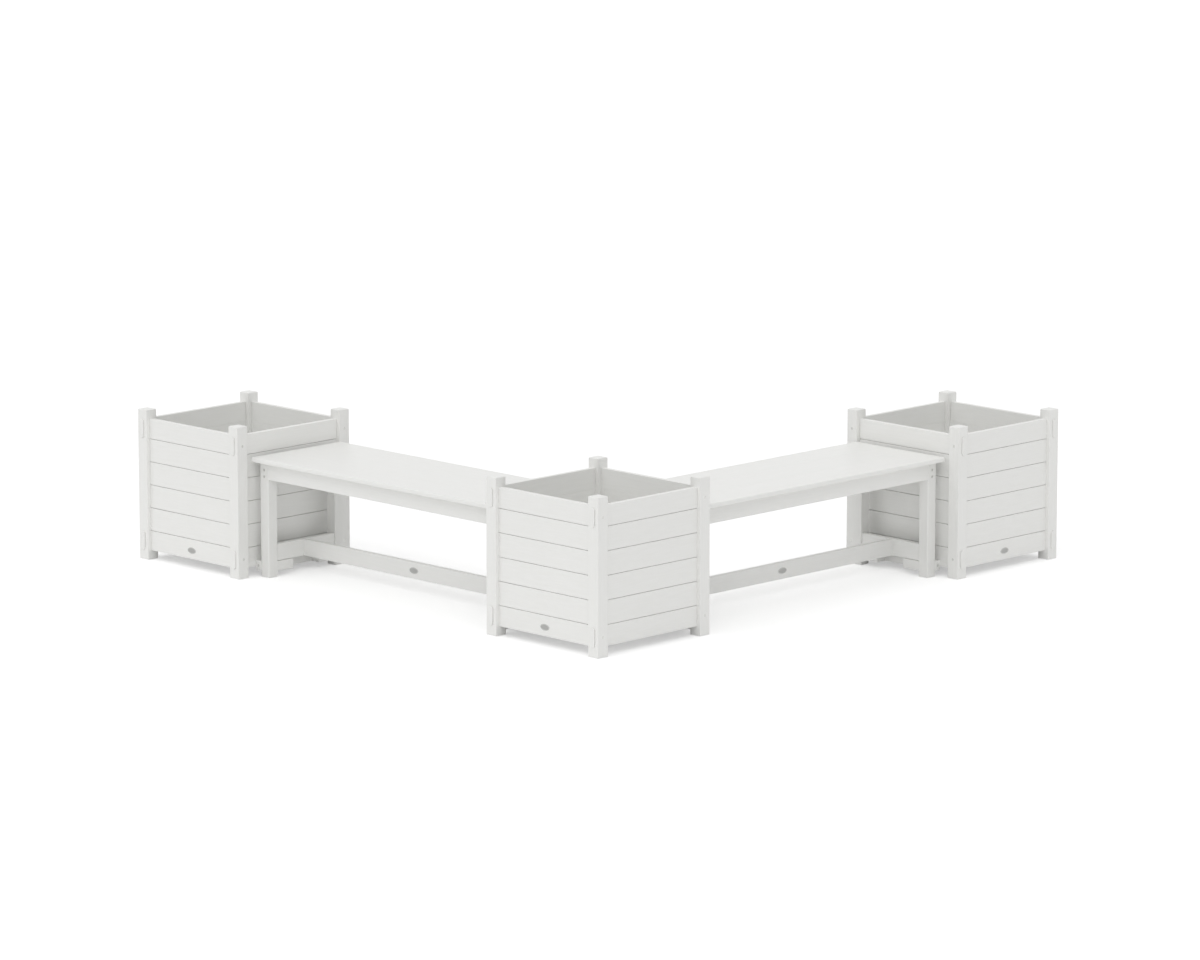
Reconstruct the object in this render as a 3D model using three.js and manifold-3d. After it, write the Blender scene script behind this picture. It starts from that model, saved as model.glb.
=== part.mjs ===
// A corner set for a garden or a terrace, in white plastic lumber: three square planters and two
// straight benches. Millimetres, +Z up. The corner planter stands in the corner of an L. One bench
// runs from it along +X and the other along +Y, with a planter at the far end of each.
// The origin is on the ground, in the middle of the square that the set fills.
// Front is the outside of the corner, towards -X and -Y, and left is the side of +Y.

import * as THREE from "three";
import { mergeVertices } from "three/addons/utils/BufferGeometryUtils.js";
import Module from "manifold-3d";

const wasm = await Module();
wasm.setup();

// Planters
const planterSide = 568; // over the outer faces of the posts
const postWidth = 50;
const postEasing = 3.5;
const boardThickness = 19;
const outerBoardHeight = 77; // the lowest and the highest board of a wall
const middleBoardHeight = 89;
const middleBoardCount = 4;
const wallClearance = 35; // from the ground to the lowest board
const postRise = 35.5; // from the walls' top to the posts' top
const boardEasing = 1.5;
const revealWidth = 3; // the open line between two boards, on the outside only
const revealDepth = 6;

// The walls' joints in the posts
const tongueThickness = 10;
const tongueLength = 12;
const tenonThickness = 18;
const tenonProud = 5; // how far a through tenon stands out of the far side of its post
const tenonInset = 3; // from the board's edge to the edge of its tongue or tenon

// The planters' floor panels
const floorThickness = 19;
const floorRise = 20; // from the wall's lower edge to the underside of the panel
const floorGrooveDepth = 6;
const floorEasing = 2;
const drainHoleDiameter = 16;
const drainHoleShare = 0.5; // of the way from the middle of the floor to its posts

// Benches
const seatHeight = 460.5;
const seatInset = 56.75; // from the planters' sides to the seat's long edges, before its setback
const seatOverhang = 36; // from the seat's long edges to the legs' outer faces
const plankCount = 3;
const plankLength = 1331.5;
const plankThickness = 18.5;
const plankGap = 0.5;
const seatEasing = 4; // the seat's outer edges
const plankEasing = 0.8; // the edges where two planks meet
const seatEndGap = 4; // from the seat's end to the planters' posts
const benchSetback = 7; // the bench's centre line lies this far behind the planters'
const legWidth = 45;
const legEasing = 3;
const legInset = 10; // from the seat's end to the legs' end faces
const railThickness = 19; // aprons and stretchers
const railEasing = 2;
const apronHeight = 65.5;
const stretcherHeight = 64;
const stretcherClearance = 59.5; // from the ground to the stretchers
const stretcherSetback = 5; // from the legs' inner side faces to the end stretchers

// The rails' joints in the legs and in each other
const railTenonThickness = 10;
const railTenonLength = 20;
const railTenonInset = 6;
const longTenonLength = 12; // of the long stretcher in the end stretchers

// The notched tie rails between a bench and a planter
const tieHeight = 37;
const tieClearance = 21.5; // from the ground to the tie rail
const tieSetback = 3; // from the legs' inner side faces to the front of its two blocks
const tieNotchWidth = 114;
const tieEasing = 2;

// Left between two pieces at each shoulder, cheek and end of a joint
const fitGap = 0.3;
// How far a cutter runs out of the face that it is sunk into
const cutOverrun = 2;
// The ends of a post or leg are eased by this share of its long edges' easing
const endEasingShare = 0.8;

// Places that follow from the sizes
const wallHeight = 2 * outerBoardHeight + middleBoardCount * middleBoardHeight;
const wallTop = wallClearance + wallHeight;
const planterHeight = wallTop + postRise;
const wallLength = planterSide - 2 * postWidth;
const postPlace = (planterSide - postWidth) / 2; // from a planter's middle to a post's middle
const boardSetback = (postWidth - boardThickness) / 2;
const tenonHeight = outerBoardHeight - 2 * tenonInset;
const tenonLevels = [wallClearance + outerBoardHeight / 2, wallTop - outerBoardHeight / 2];
const tongueHeight = wallHeight - 2 * tenonInset;
const wallMiddle = wallClearance + wallHeight / 2;
const floorLevel = wallClearance + floorRise;
const benchLength = plankLength + 2 * seatEndGap; // between the planters' posts
const planterSpacing = planterSide + benchLength;
const seatWidth = planterSide - 2 * seatInset;
const plankWidth = (seatWidth - (plankCount - 1) * plankGap) / plankCount;
const frameWidth = seatWidth - 2 * seatOverhang; // over the outer faces of the legs
const legHeight = seatHeight - plankThickness;
const legPlaceX = plankLength / 2 - legInset - legWidth / 2; // from a bench's middle to a leg's middle
const legPlaceY = (frameWidth - legWidth) / 2;
const apronLevel = legHeight - fitGap - apronHeight / 2;
const stretcherLevel = stretcherClearance + stretcherHeight / 2;
const flushPlace = (legWidth - railThickness) / 2; // from a leg's middle to an apron's middle
const stretcherPlace = flushPlace - stretcherSetback;
const setCentre = (planterSide + planterSpacing - tenonProud) / 2; // from the posts' outer faces

const quarterTurn = Math.PI / 2;
const halfTurn = Math.PI;
const fullTurn = 2 * Math.PI;

// Geometry

const unitX = new THREE.Vector3(1, 0, 0);
const unitY = new THREE.Vector3(0, 1, 0);
const unitZ = new THREE.Vector3(0, 0, 1);

// An outline's x and y become Y and Z, so that its extrusion runs along X.
const sectionToX = new THREE.Matrix4().makeBasis(unitY, unitZ, unitX);
// An outline's x and y stay X and Z, so that its extrusion runs along Y.
const profileToY = new THREE.Matrix4().makeBasis(unitX, unitZ, unitY.clone().negate());

// The steps of an arc: two to a quarter turn, and more on round pieces.
const coarse = 1;
const fine = 3;

function roundedRectangle(width, height, radius) {
  const x = width / 2 - radius;
  const y = height / 2 - radius;
  const outline = new THREE.Shape();
  outline.absarc(x, y, radius, 0, quarterTurn);
  outline.absarc(-x, y, radius, quarterTurn, halfTurn);
  outline.absarc(-x, -y, radius, halfTurn, halfTurn + quarterTurn);
  outline.absarc(x, -y, radius, halfTurn + quarterTurn, fullTurn);
  return outline;
}

// An upright pill with fully rounded ends.
function pill(width, height) {
  const radius = width / 2;
  const reach = height / 2 - radius;
  const outline = new THREE.Shape();
  outline.absarc(0, reach, radius, 0, halfTurn);
  outline.absarc(0, -reach, radius, halfTurn, fullTurn);
  return outline;
}

// A closed outline through the points, with each corner rounded.
function roundedOutline(points, radius) {
  const outline = new THREE.Shape();
  points.forEach((corner, i) => {
    const before = points.at(i - 1);
    const after = points[(i + 1) % points.length];
    const from = corner.clone().add(before.clone().sub(corner).setLength(radius));
    const to = corner.clone().add(after.clone().sub(corner).setLength(radius));
    if (i === 0) {
      outline.moveTo(from.x, from.y);
    } else {
      outline.lineTo(from.x, from.y);
    }
    outline.quadraticCurveTo(corner.x, corner.y, to.x, to.y);
  });
  outline.closePath();
  return outline;
}

// A straight extrusion from the ground up, with its top and bottom edges eased.
function upright(outline, height, easing = 0) {
  const geometry = new THREE.ExtrudeGeometry(outline, {
    depth: height - 2 * easing,
    bevelEnabled: easing > 0,
    bevelThickness: easing,
    bevelSize: easing,
    bevelOffset: -easing,
    bevelSegments: 2,
    curveSegments: coarse,
  });
  geometry.translate(0, 0, easing);
  return geometry;
}

// A straight extrusion along X, centred on the origin. Its ends are eased by less than its outline.
function lengthwise(outline, length, steps = coarse, easing = 0) {
  const geometry = new THREE.ExtrudeGeometry(outline, {
    depth: length - 2 * easing,
    bevelEnabled: easing > 0,
    bevelThickness: easing,
    bevelSize: easing,
    bevelOffset: -easing,
    bevelSegments: 1,
    curveSegments: steps,
  });
  geometry.translate(0, 0, easing - length / 2);
  geometry.applyMatrix4(sectionToX);
  return geometry;
}

function solidOf(geometry) {
  geometry.deleteAttribute("normal");
  geometry.deleteAttribute("uv");
  const merged = mergeVertices(geometry);
  return new wasm.Manifold(
    new wasm.Mesh({
      numProp: 3,
      vertProperties: merged.attributes.position.array,
      triVerts: new Uint32Array(merged.index.array),
    }),
  );
}

function geometryOf(solid) {
  const { vertProperties, triVerts } = solid.getMesh();
  const geometry = new THREE.BufferGeometry();
  geometry.setAttribute("position", new THREE.BufferAttribute(vertProperties, 3));
  geometry.setIndex(new THREE.BufferAttribute(triVerts, 1));
  geometry.computeVertexNormals();
  return geometry;
}

// The cutter for a tongue or tenon of the given size, sunk into a face that lies `reach` from the
// piece's middle in the direction `turn`, and moved sideways by `beside`.
function mortise({ turn, reach, depth, thickness, height, level, beside = [0, 0] }) {
  const length = depth + fitGap + cutOverrun;
  const cutter = new THREE.BoxGeometry(length, thickness + 2 * fitGap, height + 2 * fitGap);
  cutter.translate(reach + cutOverrun - length / 2, 0, level);
  cutter.rotateZ(turn);
  cutter.translate(...beside, 0);
  return solidOf(cutter);
}

// Lumber

const white = 0xe7e8e6;
const roughness = 0.55;

function lumber() {
  return new THREE.MeshStandardMaterial({
    color: white,
    roughness,
    metalness: 0,
    flatShading: true,
  });
}

function piece(name, solid) {
  const mesh = new THREE.Mesh(geometryOf(solid), lumber());
  mesh.name = name;
  return mesh;
}

// Planter pieces

// A post in the corner from which the walls run towards towardX and towardY (1 or -1).
// The through tenons cross it in the direction tenonTurn.
function planterPost(towardX, towardY, tenonTurn) {
  const outline = roundedRectangle(postWidth, postWidth, postEasing);
  let post = solidOf(upright(outline, planterHeight, postEasing * endEasingShare));
  const grooveTurns = [towardX > 0 ? 0 : halfTurn, towardY * quarterTurn];
  for (const turn of grooveTurns) {
    const groove = mortise({
      turn,
      reach: postWidth / 2,
      depth: tongueLength,
      thickness: tongueThickness,
      height: tongueHeight,
      level: wallMiddle,
    });
    post = post.subtract(groove);
  }
  for (const level of tenonLevels) {
    const hole = pill(tenonThickness + 2 * fitGap, tenonHeight + 2 * fitGap);
    const cutter = lengthwise(hole, postWidth + 2 * cutOverrun, fine);
    cutter.translate(0, 0, level);
    cutter.rotateZ(tenonTurn);
    post = post.subtract(solidOf(cutter));
  }
  return post;
}

// A wall's section, its outside to the left: eased boards with an open reveal at each joint.
function wallOutline() {
  const outside = -boardThickness / 2;
  const inside = boardThickness / 2;
  const outline = new THREE.Shape();
  outline.moveTo(inside, wallClearance);
  outline.lineTo(inside, wallTop - boardEasing);
  outline.absarc(inside - boardEasing, wallTop - boardEasing, boardEasing, 0, quarterTurn);
  let top = wallTop;
  for (let board = middleBoardCount + 1; board >= 0; board -= 1) {
    const bottom = wallClearance + (board > 0 ? outerBoardHeight + (board - 1) * middleBoardHeight : 0);
    const upperEdge = top === wallTop ? top : top - revealWidth / 2;
    const lowerEdge = board > 0 ? bottom + revealWidth / 2 : bottom;
    const eased = outside + boardEasing;
    outline.absarc(eased, upperEdge - boardEasing, boardEasing, quarterTurn, halfTurn);
    outline.absarc(eased, lowerEdge + boardEasing, boardEasing, halfTurn, halfTurn + quarterTurn);
    if (board > 0) {
      outline.lineTo(outside + revealDepth, lowerEdge);
      outline.lineTo(outside + revealDepth, lowerEdge - revealWidth);
    }
    top = bottom;
  }
  outline.closePath();
  return outline;
}

// A wall along X between two posts, its outside towards -Y: six boards that lock into one panel.
// Every board has a stub tongue in the posts' grooves. On two of the four walls the lowest and the
// highest board also have a tenon that runs right through the posts. The inside of the lowest board
// has a groove for the floor panel.
function planterWall(hasTenons) {
  let wall = solidOf(lengthwise(wallOutline(), wallLength - 2 * fitGap));
  const tongue = new THREE.BoxGeometry(wallLength + 2 * tongueLength, tongueThickness, tongueHeight);
  tongue.translate(0, 0, wallMiddle);
  wall = wall.add(solidOf(tongue));
  if (hasTenons) {
    for (const level of tenonLevels) {
      const length = planterSide + 2 * tenonProud;
      const easing = boardEasing * endEasingShare;
      const tenon = lengthwise(pill(tenonThickness, tenonHeight), length, fine, easing);
      tenon.translate(0, 0, level);
      wall = wall.add(solidOf(tenon));
    }
  }
  const groove = new THREE.BoxGeometry(wallLength, boardThickness, floorThickness + 2 * fitGap);
  const groovePlace = boardThickness - floorGrooveDepth - fitGap;
  groove.translate(0, groovePlace, floorLevel + floorThickness / 2);
  return wall.subtract(solidOf(groove));
}

// The floor panel: its edges lie in the walls' grooves, its corners are cut out round the posts.
function planterFloor() {
  const inner = postPlace - postWidth / 2 - fitGap;
  const outer = postPlace - boardThickness / 2 + floorGrooveDepth;
  const plan = [
    [outer, -inner],
    [outer, inner],
    [inner, inner],
    [inner, outer],
    [-inner, outer],
    [-inner, inner],
    [-outer, inner],
    [-outer, -inner],
    [-inner, -inner],
    [-inner, -outer],
    [inner, -outer],
    [inner, -inner],
  ];
  const outline = roundedOutline(
    plan.map(([x, y]) => new THREE.Vector2(x, y)),
    floorEasing,
  );
  const place = inner * drainHoleShare;
  for (const [x, y] of [[0, 0], [place, place], [-place, place], [-place, -place], [place, -place]]) {
    const hole = new THREE.Path();
    hole.absarc(x, y, drainHoleDiameter / 2, 0, fullTurn, true);
    outline.holes.push(hole);
  }
  return solidOf(
    new THREE.ExtrudeGeometry(outline, {
      depth: floorThickness,
      bevelEnabled: false,
      curveSegments: fine,
    }),
  );
}

// A planter round its own middle. Its through tenons run along X, or along Y for a quarter turn.
function planter(name, tenonTurn) {
  const group = new THREE.Group();
  const corners = [
    { name: "front", x: -1, y: -1 },
    { name: "right", x: 1, y: -1 },
    { name: "back", x: 1, y: 1 },
    { name: "left", x: -1, y: 1 },
  ];
  for (const corner of corners) {
    const post = piece(`${name}_post_${corner.name}`, planterPost(-corner.x, -corner.y, tenonTurn));
    post.position.set(corner.x * postPlace, corner.y * postPlace, 0);
    group.add(post);
  }
  const sides = [
    { name: "front_right", turn: 0 },
    { name: "back_right", turn: quarterTurn },
    { name: "back_left", turn: halfTurn },
    { name: "front_left", turn: -quarterTurn },
  ];
  sides.forEach((side, i) => {
    const alongX = i % 2 === 0;
    const hasTenons = alongX === (tenonTurn === 0);
    const wall = piece(`${name}_wall_${side.name}`, planterWall(hasTenons));
    wall.position.set(0, -postPlace, 0).applyAxisAngle(unitZ, side.turn);
    wall.rotation.z = side.turn;
    group.add(wall);
  });
  const floor = piece(`${name}_floor_panel`, planterFloor());
  floor.position.z = floorLevel;
  group.add(floor);
  return group;
}

// Bench pieces, round the bench's own middle, with its length along X

// One of the seat's three planks, on the side -1, 0 or 1 of the centre line.
function seatPlank(side) {
  const low = side < 0 ? seatEasing : plankEasing;
  const high = side > 0 ? seatEasing : plankEasing;
  const half = plankWidth / 2;
  const section = new THREE.Shape();
  section.absarc(half - high, plankThickness - high, high, 0, quarterTurn);
  section.absarc(low - half, plankThickness - low, low, quarterTurn, halfTurn);
  section.absarc(low - half, low, low, halfTurn, halfTurn + quarterTurn);
  section.absarc(half - high, high, high, halfTurn + quarterTurn, fullTurn);
  const profile = roundedRectangle(plankLength, plankThickness, seatEasing);
  const ends = new THREE.ExtrudeGeometry(profile, {
    depth: plankWidth + 2 * cutOverrun,
    bevelEnabled: false,
    curveSegments: coarse,
  });
  ends.applyMatrix4(profileToY);
  ends.translate(0, half + cutOverrun, plankThickness / 2);
  return solidOf(lengthwise(section, plankLength + 2 * cutOverrun)).intersect(solidOf(ends));
}

// A leg whose aprons and stretcher run towards towardX and towardY (1 or -1).
function benchLeg(towardX, towardY) {
  const outline = roundedRectangle(legWidth, legWidth, legEasing);
  const leg = solidOf(upright(outline, legHeight, legEasing * endEasingShare));
  const alongTurn = towardX > 0 ? 0 : halfTurn;
  const acrossTurn = towardY * quarterTurn;
  const joint = {
    reach: legWidth / 2,
    depth: railTenonLength,
    thickness: railTenonThickness,
  };
  const apron = { ...joint, height: apronHeight - 2 * railTenonInset, level: apronLevel };
  const stretcher = {
    ...joint,
    height: stretcherHeight - 2 * railTenonInset,
    level: stretcherLevel,
  };
  return leg
    .subtract(mortise({ ...apron, turn: alongTurn, beside: [0, -towardY * flushPlace] }))
    .subtract(mortise({ ...apron, turn: acrossTurn, beside: [-towardX * flushPlace, 0] }))
    .subtract(mortise({ ...stretcher, turn: acrossTurn, beside: [towardX * stretcherPlace, 0] }));
}

// An apron or stretcher along X, from shoulder to shoulder, with a tenon at each end.
function rail(length, height, tenonLength) {
  const outline = roundedRectangle(railThickness, height, railEasing);
  const body = lengthwise(outline, length - 2 * fitGap);
  const tenons = new THREE.BoxGeometry(
    length + 2 * tenonLength,
    railTenonThickness,
    height - 2 * railTenonInset,
  );
  return solidOf(body).add(solidOf(tenons));
}

// An end stretcher, with the long stretcher's mortise in its +Y face.
function endStretcher() {
  const socket = mortise({
    turn: quarterTurn,
    reach: railThickness / 2,
    depth: longTenonLength,
    thickness: railTenonThickness,
    height: stretcherHeight - 2 * railTenonInset,
    level: 0,
  });
  return rail(frameWidth - 2 * legWidth, stretcherHeight, railTenonLength).subtract(socket);
}

// The tie rail at a bench's +X end, drawn from the middle of the legs' end faces: a bar across the
// bench between the legs and the planter's wall, and two blocks that reach in between the legs.
function tieRail() {
  const barNear = fitGap;
  const barFar = legInset + seatEndGap + boardSetback - fitGap;
  const barEnd = frameWidth / 2;
  const blockFront = tieSetback - legWidth;
  const blockOuter = frameWidth / 2 - legWidth - fitGap;
  const blockInner = tieNotchWidth / 2;
  const half = [
    [barFar, barEnd],
    [barNear, barEnd],
    [barNear, blockOuter],
    [blockFront, blockOuter],
    [blockFront, blockInner],
    [barNear, blockInner],
  ];
  const mirrored = half.map(([x, y]) => [x, -y]).reverse();
  const points = [...half, ...mirrored].map(([x, y]) => new THREE.Vector2(x, y));
  return solidOf(upright(roundedOutline(points, tieEasing), tieHeight, tieEasing * endEasingShare));
}

// A bench whose front side is towards -Y (-1) or +Y (1). Its inner end, at -X, meets the corner
// planter.
function bench(name, frontSide) {
  const group = new THREE.Group();
  const sideNames = { [frontSide]: "front", 0: "middle", [-frontSide]: "back" };
  const endNames = { [-1]: "inner", 1: "outer" };
  const add = (pieceName, solid, x, y, z, turn = 0) => {
    const mesh = piece(`${name}_${pieceName}`, solid);
    mesh.position.set(x, y, z);
    mesh.rotation.z = turn;
    group.add(mesh);
  };
  for (const side of [-1, 0, 1]) {
    add(`seat_plank_${sideNames[side]}`, seatPlank(side), 0, side * (plankWidth + plankGap), legHeight);
  }
  const apronLength = 2 * legPlaceX - legWidth;
  const innerWidth = frameWidth - 2 * legWidth;
  for (const side of [-1, 1]) {
    const y = side * (legPlaceY + flushPlace);
    add(`apron_${sideNames[side]}`, rail(apronLength, apronHeight, railTenonLength), 0, y, apronLevel);
    for (const end of [-1, 1]) {
      const leg = benchLeg(-end, -side);
      add(`leg_${endNames[end]}_${sideNames[side]}`, leg, end * legPlaceX, side * legPlaceY, 0);
    }
  }
  for (const end of [-1, 1]) {
    const turn = end * quarterTurn;
    const apron = rail(innerWidth, apronHeight, railTenonLength);
    add(`apron_${endNames[end]}`, apron, end * (legPlaceX + flushPlace), 0, apronLevel, turn);
    const x = end * (legPlaceX - stretcherPlace);
    add(`stretcher_${endNames[end]}`, endStretcher(), x, 0, stretcherLevel, turn);
    const legEnd = end * (legPlaceX + legWidth / 2);
    add(`tie_rail_${endNames[end]}`, tieRail(), legEnd, 0, tieClearance, end > 0 ? 0 : halfTurn);
  }
  const longLength = 2 * (legPlaceX - stretcherPlace) - railThickness;
  add("stretcher_long", rail(longLength, stretcherHeight, longTenonLength), 0, 0, stretcherLevel);
  return group;
}

// The whole set

const cornerPlace = planterSide / 2 - setCentre;
const farPlace = cornerPlace + planterSpacing;
const benchAlong = cornerPlace + planterSpacing / 2;
const benchAcross = cornerPlace + benchSetback;

const cornerPlanter = planter("corner", 0);
cornerPlanter.position.set(cornerPlace, cornerPlace, 0);
const leftPlanter = planter("left", 0);
leftPlanter.position.set(cornerPlace, farPlace, 0);
const rightPlanter = planter("right", quarterTurn);
rightPlanter.position.set(farPlace, cornerPlace, 0);
const rightBench = bench("right_bench", -1);
rightBench.position.set(benchAlong, benchAcross, 0);
const leftBench = bench("left_bench", 1);
leftBench.position.set(benchAcross, benchAlong, 0);
leftBench.rotation.z = quarterTurn;

const benchSet = new THREE.Group();
benchSet.name = "corner_bench_set";
benchSet.add(cornerPlanter, leftPlanter, rightPlanter, rightBench, leftBench);

export default benchSet;
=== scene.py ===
"""A corner garden set in white plastic lumber: three planters and two benches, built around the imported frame.

Laid out as a Blender add-on. Each operator makes one kind of piece in its place; the panel lists them.
"""

import math

import bmesh
import bpy
from bpy.props import FloatProperty, FloatVectorProperty, IntProperty, PointerProperty
from mathutils import Matrix, Vector


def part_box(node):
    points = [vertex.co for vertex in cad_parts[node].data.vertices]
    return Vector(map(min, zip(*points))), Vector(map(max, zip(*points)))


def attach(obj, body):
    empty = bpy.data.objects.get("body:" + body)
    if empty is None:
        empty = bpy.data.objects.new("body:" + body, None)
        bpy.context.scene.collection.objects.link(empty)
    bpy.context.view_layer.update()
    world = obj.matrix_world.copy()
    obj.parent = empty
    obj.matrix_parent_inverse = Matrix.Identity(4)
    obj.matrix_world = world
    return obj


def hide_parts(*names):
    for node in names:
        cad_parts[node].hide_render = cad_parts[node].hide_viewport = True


bl_info = {
    "name": "Corner Bench Set",
    "version": (1, 0, 0),
    "blender": (4, 5, 0),
    "location": "3D View > Sidebar > Bench Set",
    "description": "Models three planters and two benches of plastic lumber, with a plain studio",
    "category": "Add Mesh",
}

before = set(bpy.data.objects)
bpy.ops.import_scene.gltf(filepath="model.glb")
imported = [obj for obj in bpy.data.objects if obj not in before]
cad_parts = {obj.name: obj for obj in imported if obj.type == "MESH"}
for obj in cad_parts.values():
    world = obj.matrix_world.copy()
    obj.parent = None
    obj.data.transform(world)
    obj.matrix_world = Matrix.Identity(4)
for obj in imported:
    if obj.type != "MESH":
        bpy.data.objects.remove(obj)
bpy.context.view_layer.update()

X, Y, Z = 0, 1, 2
BODY = "root"
PLANTERS = ("corner", "left", "right")
# The quarter turns that bring the front post and the front right wall to each place.
POST_TURNS = {"front": 0, "right": 1, "back": 2, "left": 3}
WALL_TURNS = {"front_right": 0, "back_right": 1, "back_left": 2, "front_left": 3}
# The two planters whose through tenons run along X; those of the right one run along Y.
TENONS_ALONG_X = ("corner", "left")
OTHER_SIDE = {"front": "back", "back": "front", "inner": "outer", "outer": "inner"}
# The two ways that the set's outer faces look.
LEFTWARD, RIGHTWARD = Vector((-1, 0, 0)), Vector((0, -1, 0))
TOUCH = 0.00002  # metres; two places nearer than this count as one
FACING = 0.99  # a face looks along an axis if its unit normal reaches at least this far along it


def mm(length):
    """Millimetres to metres."""
    return length / 1000


FIT_GAP = mm(0.3)  # left between two pieces at each shoulder, cheek and end of a joint
CUT_OVERRUN = mm(2)  # how far a cutter runs out of the face that it is sunk into
GROOVE_INSET = mm(2)  # from a wall's edges to the ends of the grooves in its posts
TONGUE_INSET = mm(3)  # from the edges of the lowest and highest boards to their tongues' edges
BOARD_JOINT = mm(0.1)  # from a board's inner edge to the line where it meets the next board
INNER_EASING = mm(0.6)  # of those inner edges
PANEL_EASING, PANEL_RIM_EASING = mm(2), mm(1)  # of the floor panels' upright and rim edges
PANEL_OVERRUN = mm(5)  # how far the cutters of the floor panels run out of them
LEG_END_EASING = mm(2.4)
SOCKET_REACH = mm(40)  # from the end of the long stretcher to the end of its socket's cutter
RECESS_WIDTH, RECESS_DEPTH = mm(0.8), mm(0.7)  # of a screw's cross recess
PLATE_BACKING = mm(0.3)  # how far an oval plate's back lies inside the face
PLATE_EASING = mm(0.7)  # round an oval plate's front
FLOOR_DROP = mm(0.5)  # from the set's feet down to the floor


def linear(code):
    """An sRGB hex value as linear red, green, blue and alpha."""
    shares = [int(code[i : i + 2], 16) / 255 for i in (1, 3, 5)]
    return [c / 12.92 if c <= 0.04045 else ((c + 0.055) / 1.055) ** 2.4 for c in shares] + [1]


WHITE = linear("#FFFFFF")


def colour_property(name, description, code):
    return FloatVectorProperty(
        name=name, description=description, subtype="COLOR", size=4, min=0, max=1, default=linear(code)
    )


def length_property(name, description, length):
    return FloatProperty(name=name, description=description, unit="LENGTH", min=0, default=mm(length))


def strength_property(name, description, strength):
    return FloatProperty(name=name, description=description, min=0, default=strength)


class PlanterSizes(bpy.types.PropertyGroup):
    """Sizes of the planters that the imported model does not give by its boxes."""

    post_easing: length_property("Post easing", "Radius of the posts' long edges", 1.8)
    post_crown: length_property("Post crown", "Radius of the edges round a post's top", 4)
    post_foot_easing: length_property("Foot easing", "Radius of the edges round a post's foot", 1.5)
    outer_board: length_property("Outer board", "Height of the lowest and the highest board", 77)
    middle_board: length_property("Middle board", "Height of the boards between them", 89)
    board_easing: length_property("Board easing", "Radius of the boards' outer edges", 1.5)
    reveal_width: length_property("Reveal width", "Open line between two boards", 1.6)
    reveal_depth: length_property("Reveal depth", "Depth of that line", 6)
    tongue_thickness: length_property("Tongue thickness", "Of the boards' tongues in the posts", 10)
    tongue_length: length_property("Tongue length", "How far the boards reach into the posts", 12)
    tenon_thickness: length_property("Tenon thickness", "Of the tenons that run through the posts", 18)
    tenon_height: length_property("Tenon height", "Of the tenons that run through the posts", 71)
    tenon_proud: length_property("Tenon reach", "How far a tenon stands out of its post", 5)
    tenon_easing: length_property("Tenon easing", "Radius round a tenon's end", 3)
    tenon_gap: length_property("Tenon gap", "Open line beside a through tenon", 0.9)
    floor_groove: length_property("Floor groove", "Depth of the groove that holds the floor panel", 6)
    drain_hole: length_property("Drain hole", "Diameter of the holes in the floor panel", 16)


class BenchSizes(bpy.types.PropertyGroup):
    """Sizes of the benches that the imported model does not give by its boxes."""

    seat_easing: length_property("Seat easing", "Radius of the seat's outer edges", 5)
    plank_easing: length_property("Plank easing", "Radius of the edges where two planks meet", 0.9)
    leg_easing: length_property("Leg easing", "Radius of the legs' long edges", 3.5)
    rail_easing: length_property("Rail easing", "Radius of the rails' long edges", 2.2)
    tenon_length: length_property("Tenon length", "How far a rail reaches into a leg", 20)
    long_tenon_length: length_property("Long tenon", "How far the long stretcher reaches in", 12)
    tenon_thickness: length_property("Tenon thickness", "Of the rails' tenons", 10)
    tenon_inset: length_property("Tenon inset", "From a rail's edge to its tenon's edge", 6)
    tie_notch: length_property("Tie notch", "Free width between the two blocks", 130)


class FittingSizes(bpy.types.PropertyGroup):
    """Screws and the bare oval plates."""

    screw_head: length_property("Screw head", "Diameter of a screw's head", 10.5)
    screw_rise: length_property("Screw rise", "Height of a head", 1.6)
    screw_cover: length_property("Screw cover", "How far a head lies below the face", 0.05)
    screw_hole: length_property("Screw hole", "Diameter of the hole that a head sits in", 10.9)
    leg_screw_high: length_property("Upper leg screw", "From the apron's upper edge down", 31)
    leg_screw_low: length_property("Lower leg screw", "From the apron's upper edge down", 56)
    tie_screw_inset: length_property("Tie screw", "From the tie rail's long face inwards", 14.5)
    plate_length: length_property("Plate length", "Long diameter of an oval plate", 46)
    plate_height: length_property("Plate height", "Short diameter of an oval plate", 24)
    plate_rise: length_property("Plate rise", "Thickness of an oval plate", 1.6)
    plate_rim: length_property("Plate rim", "Width of the rim's flat top", 1.5)
    plate_sink: length_property("Plate sink", "How far the field lies below the rim", 0.6)
    plate_level: length_property("Plate level", "From a planter's lower wall edge up", 33)
    plate_shift: length_property("Plate shift", "From a stretcher's middle outwards", 10)


class Finishes(bpy.types.PropertyGroup):
    """Colours of the materials, and the detail of the lumber's grain."""

    lumber_light: colour_property("Lumber, crests", "The plastic on the crests of its grain", "#F5F5F3")
    lumber_deep: colour_property("Lumber, grain", "The plastic in the lines of its grain", "#F1F1EE")
    screw_metal: colour_property("Screw", "Stainless steel", "#DEDEDB")
    plate_metal: colour_property("Plate", "Satin nickel on the rim", "#D2D2D0")
    plate_field: colour_property("Plate field", "The duller nickel inside the rim", "#B6B6B4")
    grain_steps: IntProperty(name="Grain detail", description="Octaves in the grain", min=1, default=4)


class StageSettings(bpy.types.PropertyGroup):
    """Camera, lamps and floor."""

    lens: FloatProperty(name="Lens", description="Focal length", unit="CAMERA", min=1, default=181.947)
    surround: strength_property("Surround", "Strength of the light from all sides", 0.465)
    key_strength: strength_property("Key", "Strength of the lamp from the left", 0.34)
    front_strength: strength_property("Front", "Strength of the lamp by the camera", 0.36)
    top_strength: strength_property("Top", "Strength of the lamp overhead", 0.82)
    floor_shade: strength_property("Floor shade", "Share of light it shows in the picture", 0.85)
    floor_lift: strength_property("Floor lift", "White that it gains in the picture", 0.38)


# Selecting and settling


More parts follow.
